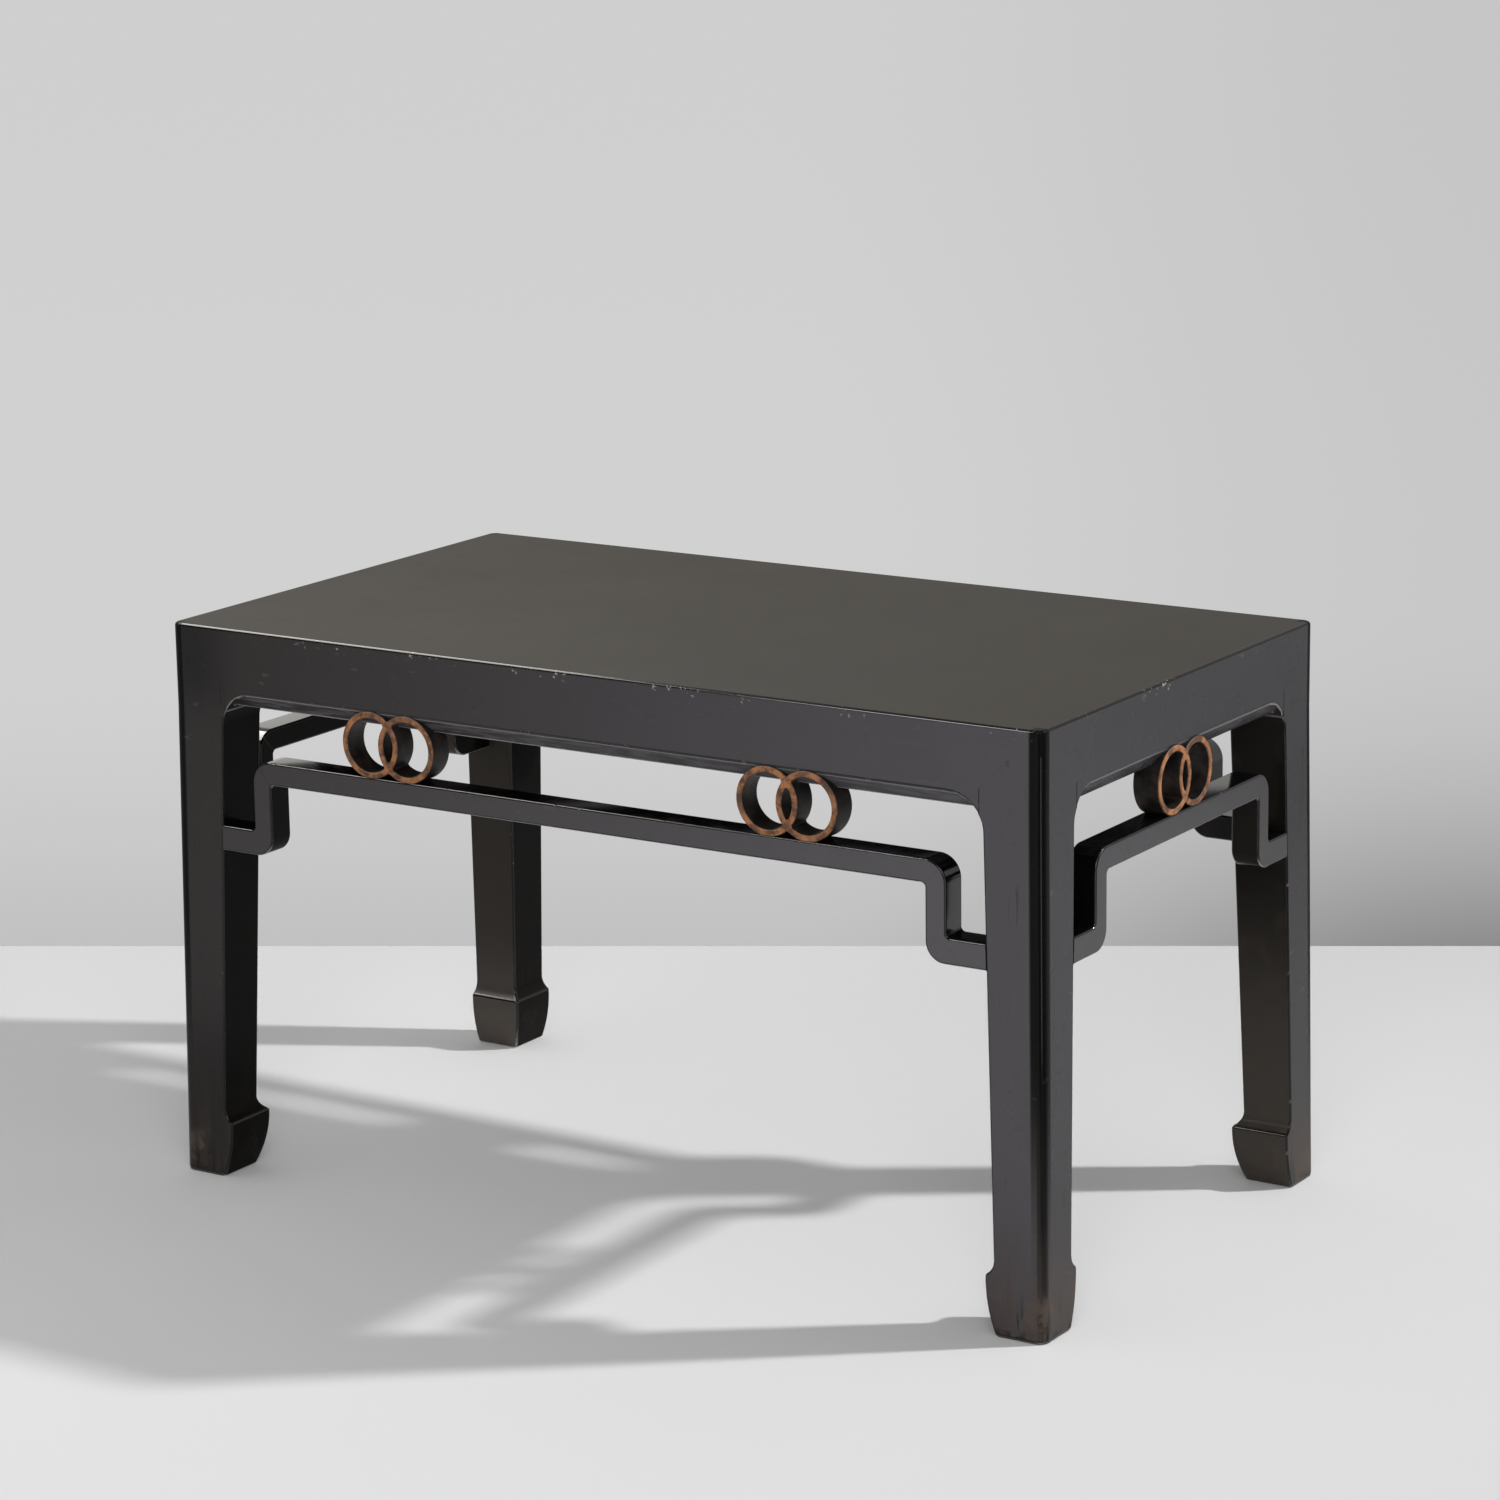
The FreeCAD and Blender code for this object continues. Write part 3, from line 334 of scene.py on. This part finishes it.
TOUCH = 0.00006     # pieces closer than this touch
WELD = 0.000002     # corners closer than this are one
SAME_FACE = 0.4     # degrees by which the triangles of one face may differ
SHARP = 24          # degrees from which an edge counts as an arris
ONE_LIGHT = 0.82    # cosine of the turn up to which neighbouring faces share their light
CRACK = 0.0001      # the width of a hairline along a joint
HAIRLINES = (("apron", "leg"), ("bar", "crank"), ("crank", "leg"))


def meets(name, point):
    """The pieces whose surface passes through a point of this piece."""
    found = []
    for other, (skin, low, high) in SKINS.items():
        if other != name:
            if all(low[i] - TOUCH < point[i] < high[i] + TOUCH for i in range(3)):
                if skin.find_nearest(point, TOUCH)[0] is not None:
                    found.append(other)
    return found


def hairline(name, others):
    """True where the lacquer has cracked along the joint of two pieces."""
    pairs = [(name, other) for other in others]
    return any(a in one and b in two or b in one and a in two
               for one, two in pairs for a, b in HAIRLINES)


def even_light(shape):
    """Flat faces catch the light flat, and only the rounding between them turns it."""
    around = [[] for vertex in shape.vertices]
    for face in shape.polygons:
        for vertex in face.vertices:
            around[vertex].append(face)
    normals = []
    for face in shape.polygons:
        for vertex in face.vertices:
            near = [other for other in around[vertex] if other.normal.dot(face.normal) > ONE_LIGHT]
            whole = sum((other.normal * other.area for other in near), Vector())
            normals.append(whole.normalized())
    shape.normals_split_custom_set(normals)


def eased(name, finish, slot, arris=0.0018, brink=None):
    """A piece as it left the maker's hands: free arrises rubbed round, tight joints left alone.

    Arris is the width of the rounding, and brink the finish that it has."""
    mesh = bmesh.new()
    mesh.from_mesh(BARE[name].data)
    bmesh.ops.remove_doubles(mesh, verts=mesh.verts, dist=WELD)
    bmesh.ops.dissolve_limit(mesh, angle_limit=math.radians(SAME_FACE),
                             use_dissolve_boundaries=False, verts=mesh.verts, edges=mesh.edges)
    weight = mesh.edges.layers.float.new("bevel_weight_edge")
    for edge in mesh.edges:
        if len(edge.link_faces) != 2 or edge.calc_face_angle(0.0) < math.radians(SHARP):
            continue
        others = meets(name, (edge.verts[0].co + edge.verts[1].co) / 2)
        if not others:
            edge[weight] = 1.0
        elif hairline(name, others):
            edge[weight] = CRACK / arris
        else:
            edge.smooth = False
    for face in mesh.faces:
        face.smooth = True
    shape = bpy.data.meshes.new(name + "_eased")
    mesh.to_mesh(shape)
    mesh.free()
    shape.materials.append(finish)
    shape.materials.append(brink or (ARRIS if slot == "black_lacquer" else finish))
    piece = bpy.data.objects.new(name + "_eased", shape)
    bpy.context.scene.collection.objects.link(piece)
    rounding = piece.modifiers.new("rounding", "BEVEL")
    rounding.width = arris
    rounding.segments = 3
    rounding.limit_method = "WEIGHT"
    rounding.use_clamp_overlap = False
    rounding.miter_outer = "MITER_ARC"
    rounding.material = 1
    bpy.context.view_layer.update()
    rounded = piece.evaluated_get(bpy.context.evaluated_depsgraph_get())
    piece.data = bpy.data.meshes.new_from_object(rounded)
    piece.data.name = name + "_eased"
    piece.modifiers.clear()
    even_light(piece.data)
    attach(piece, "root")
    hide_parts(name)


leg_finish = trodden(Lacquer("leg_lacquer", (1, 1, 0.03))).dried()
for corner in ("front_left", "front_right", "back_left", "back_right"):
    eased("leg_" + corner, leg_finish, "black_lacquer")


# Aprons. Four boards flush with the frame's edge, mitred into the legs, each with a bevelled
# lower edge. The lacquer is brushed along the board, dust has settled in it on the bevel, and the
# bevel is painted paler as a sheen for the light it catches.
def ledge_dust_and_sheen(coat):
    """The bevel, which faces outwards and down, with the marks of the brush in its dust, painted
    pale as a sheen.
    """
    down = coat.facing[2]
    ledge = down.rise(-0.25, -0.45) * down.rise(-0.97, -0.85)
    brush = coat.cloud(0.0035, 4.0, (0.10, 0.10, 1)).rise(0.42, 0.60)
    # Dust with brush marks, and a painted sheen: the bevel is painted pale blue-grey.
    coat.over(ledge * 0.9, coat.mixed(brush * 0.6, coat.sheen_and_bloom, rgb(0.12, 0.118, 0.128)))
    coat.roughness = coat.roughness + ledge * 0.15
    return coat


apron_finish = ledge_dust_and_sheen(Lacquer("apron_lacquer", (0.04, 0.04, 1))).dried()
for side in ("front", "back", "left", "right"):
    eased("apron_" + side, apron_finish, "black_lacquer")


# Top. Four rails mitred at the corners round two boards, planed flush and lacquered as one
# surface, then rubbed to a satin by long use. The rim is rounded over, and chipped here and there.
def satin_top(coat):
    """The upper surface, warmer and drier than the sides, and dullest at its left end, where its
    colour is painted lighter as the light from that side.
    """
    upper = coat.facing[2].rise(0.97, 0.999)
    toward_right = coat.across.rise(-0.45, 0.25)
    # Painted light: the top's colour is lighter towards its left end.
    warm = coat.mixed(toward_right * 0.7 + coat.blotch * 0.3,
                      rgb(0.024, 0.018, 0.009), rgb(0.013, 0.010, 0.005))
    coat.over(upper, warm)
    satin = 0.37 + coat.blotch * 0.05 + toward_right * 0.08
    coat.roughness = coat.roughness + upper * (satin - coat.roughness)
    chips = coat.cloud(0.004, 3.0).rise(0.62, 0.67) * coat.cloud(0.06, 2.0).rise(0.5, 0.6)
    chips = chips * coat.up.rise(0.510, 0.514) * (1.0 - upper)
    coat.over(chips, rgb(0.30, 0.29, 0.27))
    coat.under(upper, warm)
    coat.dry = coat.dry.most(upper * (0.57 - toward_right * 0.42))
    return coat


RIM = 0.0038
rim_finish = rubbed_arris("rubbed_rim", 0.20)
top_finish = satin_top(Lacquer("top_lacquer", (0.04, 0.04, 1))).dried()
for rail in ("rail_front", "rail_back", "end_left", "end_right"):
    eased("frame_" + rail, top_finish, "black_lacquer", RIM, brink=rim_finish)
for board in ("front", "back"):
    eased("top_board_" + board, top_finish, "black_lacquer")


# Braces. Two bars let into the underside of the boards by a sliding dovetail and tenoned into
# the long rails, with one thin brushed coat of brown-black.
brace_finish = Lacquer("brace_lacquer", (1, 0.04, 1), gloss=0.5).dried()
for side in ("left", "right"):
    eased("brace_" + side, brace_finish, "underside_lacquer")


# Humpback stretchers. A bar between two cranks on each side, mitred at the upper bends and
# tenoned into the legs. Gloss black, with the brown ground in the chips of the arrises.
stretcher_finish = Lacquer("stretcher_lacquer", (0.1, 0.1, 0.1), gloss=0.24).dried(bend=1.5)
for side in ("front", "back", "left", "right"):
    eased("stretcher_bar_" + side, stretcher_finish, "black_lacquer")
for crank in ("front_left", "front_right", "back_left", "back_right",
              "left_front", "left_back", "right_front", "right_back"):
    eased("crank_" + crank, stretcher_finish, "black_lacquer")


# Double-ring struts. Two rings carved as one piece, held between apron and stretcher by
# bamboo pins. The fronts are worn copper-red gilding over a brown ground, the sides black.
RING_ARRIS = 0.0016


def measured(coat, kind, first, second):
    """A number worked out from two vectors."""
    return coat.add("ShaderNodeVectorMath", {"operation": kind}, {0: first, 1: second}, "Value")


def gilding(name, outward):
    coat = Finish(bpy.data.materials.new(name))
    gilt = abs(measured(coat, "DOT_PRODUCT", coat.faces, outward)).rise(0.45, 0.85)
    blotch = coat.cloud(0.012, 5.0, rough=0.65)
    grain = coat.cloud(0.0016, 4.0)
    bright = (blotch + grain * 0.25).rise(0.5, 0.74)
    colour = coat.mixed(bright, rgb(0.088, 0.037, 0.019), rgb(0.38, 0.160, 0.062))
    rubbed = coat.cloud(0.02, 4.0).rise(0.52, 0.7)
    colour = coat.mixed(rubbed * 0.6, colour, rgb(0.085, 0.055, 0.038))
    dark = coat.mixed(blotch.rise(0.4, 0.7), rgb(0.006, 0.005, 0.005), rgb(0.030, 0.019, 0.013))
    colour = coat.mixed(gilt, dark, colour)
    bumps = coat.relief(blotch * 0.2 + grain * 0.05)
    return coat.shell(coat.skin(colour, 0.42 + blotch * 0.2, 1.35, bumps))


for side, outward in (("front_left", (0, -1, 0)), ("front_right", (0, -1, 0)),
                      ("back_left", (0, 1, 0)), ("back_right", (0, 1, 0)),
                      ("left", (-1, 0, 0)), ("right", (1, 0, 0))):
    gilt_finish = gilding("ring_gilding_" + side, outward)
    eased("ring_strut_" + side, gilt_finish, "ring_lacquer", RING_ARRIS)


# Pins and loose tenons. Split bamboo pins through the struts, and bare wood tenons between
# the aprons and the frame. All of them are hidden once the table is together.
def plain_wood(name, pale, dark):
    coat = Finish(bpy.data.materials.new(name))
    streak = coat.cloud(0.002, 4.0, (1, 1, 0.08))
    colour = coat.mixed(streak.rise(0.35, 0.65), rgb(*pale), rgb(*dark))
    return coat.shell(coat.skin(colour, 0.5 + streak * 0.2, 1.5, coat.relief(streak * 0.1)))


bamboo = plain_wood("bamboo", (0.50, 0.36, 0.17), (0.34, 0.22, 0.09))
bare_wood = plain_wood("bare_wood", (0.36, 0.22, 0.12), (0.24, 0.13, 0.065))
for name, wood in (("strut_pins", bamboo), ("loose_tenons", bare_wood)):
    BARE[name].data.materials.clear()
    BARE[name].data.materials.append(wood)


# Studio. A pale floor and a light grey backdrop beyond it, with a clean line between them. The
# camera stands at the point below, and the shading of both is measured out from there.
STAND = Vector((2.16187, -3.34811, 0.0))
EYE_HEIGHT = 1.34857
EDGE_TURN = math.radians(29.6933)  # how far the line between floor and backdrop is turned
EDGE_AWAY = 4.741                  # and its distance from the stand
AHEAD = Vector((-math.sin(EDGE_TURN), math.cos(EDGE_TURN), 0.0))
ASIDE = Vector((math.cos(EDGE_TURN), math.sin(EDGE_TURN), 0.0))
KEY_PLACE = Vector((3.198, 1.928, 3.008))
FILL, KEY = 0.56, 14.1935          # the floor's light from all round and from the key lamp
BLACK, WHITE = rgb(0, 0, 0), rgb(1, 1, 1)


def laid_flat(name, near, far, half_width, finish):
    """A flat strip that runs along the line between floor and backdrop."""
    shape = bpy.data.meshes.new(name)
    corners = [STAND + AHEAD * away + ASIDE * aside for away, aside in
               ((near, -half_width), (near, half_width), (far, half_width), (far, -half_width))]
    shape.from_pydata([tuple(corner) for corner in corners], [], [(0, 1, 2, 3)])
    shape.materials.append(finish)
    strip = bpy.data.objects.new(name, shape)
    bpy.context.scene.collection.objects.link(strip)
    strip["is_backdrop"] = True


def seen(coat):
    """1 for what the camera sees directly, in a gloss or through glass, and 0 for soft light."""
    straight, gloss, through = coat.add("ShaderNodeLightPath", output=(
        "Is Camera Ray", "Is Glossy Ray", "Is Transmission Ray"))
    return straight.most(gloss).most(through)


def from_stand(coat):
    """How far ahead of the stand a point is, and how far aside for each metre ahead."""
    way = coat.add("ShaderNodeVectorMath", {"operation": "SUBTRACT"},
                   {0: coat.place, 1: tuple(STAND)})
    ahead = measured(coat, "DOT_PRODUCT", way, AHEAD)
    return ahead, measured(coat, "DOT_PRODUCT", way, ASIDE) / ahead


# The floor's paper is toned against the lamps, so that it comes out even, and then painted a
# little dimmer at the far right and paler at the left, as the light fell. In a gloss its near
# right part is painted dark, as the shade of the room behind the camera.
PAPER, PAPER_DIM = 0.715, 0.08     # its tone, and what that loses at the far right
CLOSE, FARTHER = 0.90, 0.30        # its share close by, and what comes to it further away
FADE_FROM, FADE = 1.285, 0.065     # how the whole then fades with each metre ahead
LEFT, LEFT_FADE = 0.285, 0.15      # how much paler the left is, and how that fades ahead
GLOSS_DIM = 0.93
paper = Finish(bpy.data.materials.new("studio_floor"))
reach = measured(paper, "DISTANCE", paper.place, tuple(KEY_PLACE))
light = FILL + KEY * KEY_PLACE.z / reach ** 3.0
ahead, sideways = from_stand(paper)
dim = ahead.rise(3.3, 4.75) * sideways.rise(-0.1, 0.17)
even = (PAPER - dim * PAPER_DIM) / light * (CLOSE + ahead.rise(2.7, 4.4) * FARTHER)
even = even * (FADE_FROM - ahead * FADE - sideways * (ahead * LEFT_FADE - LEFT))
# Painted dark reflection of the room behind the camera.
in_gloss = paper.add("ShaderNodeLightPath", output="Is Glossy Ray")
in_gloss = in_gloss * sideways.rise(0.02, 0.06) * ahead.rise(3.6, 3.2)
tone = paper.mixed(even * (1.0 - in_gloss * GLOSS_DIM), BLACK, WHITE)
laid_flat("floor", -9.0, EDGE_AWAY, 16.0, paper.shell(paper.skin(tone, 0.9, 1.1)))

# The backdrop is painted darker towards its lower right, as shade. What the camera and a gloss see
# of it glows by itself, and soft light meets plain grey cloth.
WALL, WALL_RISE = 0.624, 0.013     # its tone high up, and what it gains on the way down
LOW_DIM, RIGHT_DIM, CORNER_DIM = 0.150, 0.062, 0.290
cloth = Finish(bpy.data.materials.new("studio_backdrop"))
ahead, sideways = from_stand(cloth)
below = EYE_HEIGHT / ahead
low = below.rise(0.20, 0.32) ** 1.5
right = sideways.rise(-0.05, 0.12)
shade = WALL + below.rise(0.08, 0.19) * WALL_RISE
shade = shade - low * LOW_DIM - right * RIGHT_DIM - low * right * CORNER_DIM
shade = cloth.mixed(shade, BLACK, WHITE)
glow = cloth.add("ShaderNodeEmission", {}, {"Color": shade, "Strength": 1.0})
plain = cloth.add("ShaderNodeBsdfDiffuse", {}, {"Color": rgb(0.6, 0.6, 0.6)})
both = cloth.add("ShaderNodeMixShader", {}, {0: seen(cloth), 1: plain, 2: glow})
laid_flat("backdrop", EDGE_AWAY, 40.0, 30.0, cloth.shell(both))

# Soft light from all round, and in a gloss the dark of the room behind the camera, the pale
# backdrop ahead and a window at the left.
SKY, SKY_FALL = 0.70, 0.48         # the soft light at eye level, and what is less overhead
ROOM, AHEAD_PALER = 0.08, 0.52     # what a gloss sees behind, and how much paler it is ahead
WINDOW_WAY, WINDOW = (-0.90, 0.43, 0.0), 0.70
PAST_BACKDROP = 0.62
world = bpy.data.worlds.new("studio_air")
bpy.context.scene.world = world
air = Finish(world, "Generated")
soft = SKY - air.up.most(0.0) * SKY_FALL
room = measured(air, "DOT_PRODUCT", air.place, AHEAD).rise(-0.35, 0.15)
window = measured(air, "DOT_PRODUCT", air.place, WINDOW_WAY).rise(0.80, 0.92)
strength = soft + seen(air) * (ROOM + room * AHEAD_PALER + window * WINDOW - soft)
straight = air.add("ShaderNodeLightPath", output="Is Camera Ray")
strength = strength + straight * (PAST_BACKDROP - strength)
warmth = air.mixed(seen(air), WHITE, rgb(1.0, 0.975, 0.93))
glow = air.add("ShaderNodeBackground", {}, {"Color": warmth, "Strength": strength})
air.add("ShaderNodeOutputWorld", {}, {"Surface": glow})


def lamp(name, place, aim, size, power, colour=(1, 1, 1), tall=None, gloss_only=False):
    """A round lamp, or an oblong one where tall is given. Sizes in metres, power in watts."""
    light = bpy.data.lights.new(name, "AREA")
    light.shape = "DISK" if tall is None else "RECTANGLE"
    light.size = size
    light.size_y = tall or size
    light.energy = power
    light.color = colour
    holder = bpy.data.objects.new(name, light)
    holder.location = place
    holder.rotation_euler = (Vector(aim) - Vector(place)).to_track_quat("-Z", "Y").to_euler()
    holder.visible_camera = False
    holder.visible_diffuse = not gloss_only
    bpy.context.scene.collection.objects.link(holder)


# The key lamp casts the shadow and the front one lights the flats. The other three give only
# glints: along the left of the front rim, down the near corner, and on the rim beside it.
lamp("key", KEY_PLACE, (0, 0, 0.2), size=0.24, power=150.0)
lamp("front", (1.7, -2.8, 2.0), (0, 0, 0.3), size=1.8, power=34.0)
lamp("rim", (-2.1, -0.35, 2.85), (-0.3, -0.25, 0.52), size=2.7, power=115.0,
     colour=(1.0, 0.96, 0.90), tall=0.9, gloss_only=True)
lamp("strip", (1.25, -0.66, 0.8), (0.45, -0.25, 0.8), size=0.16, power=5.0, tall=1.6,
     gloss_only=True)
lamp("spark", (-1.07, -2.35, 2.08), (0.4, -0.25, 0.52), size=0.7, power=32.0, gloss_only=True)


# Camera. A long lens on the stand, at the photograph's angle: turned to the table, looking down
# a little and leaning by less than a degree.
TURN, LOOK_DOWN, LEAN = math.radians(32.7172), math.radians(13.3776), math.radians(-0.8277)
camera = bpy.data.objects.new("camera", bpy.data.cameras.new("camera"))
camera.data.lens = 108.658
camera.data.sensor_width = 36.0
camera.data.clip_end = 100.0
camera.matrix_world = (Matrix.Translation(STAND + Vector((0, 0, EYE_HEIGHT)))
                       @ Matrix.Rotation(TURN, 4, "Z")
                       @ Matrix.Rotation(math.pi / 2 - LOOK_DOWN, 4, "X")
                       @ Matrix.Rotation(LEAN, 4, "Z"))
bpy.context.scene.collection.objects.link(camera)
bpy.context.scene.camera = camera
bpy.context.scene.view_settings.view_transform = "Standard"

low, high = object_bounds()
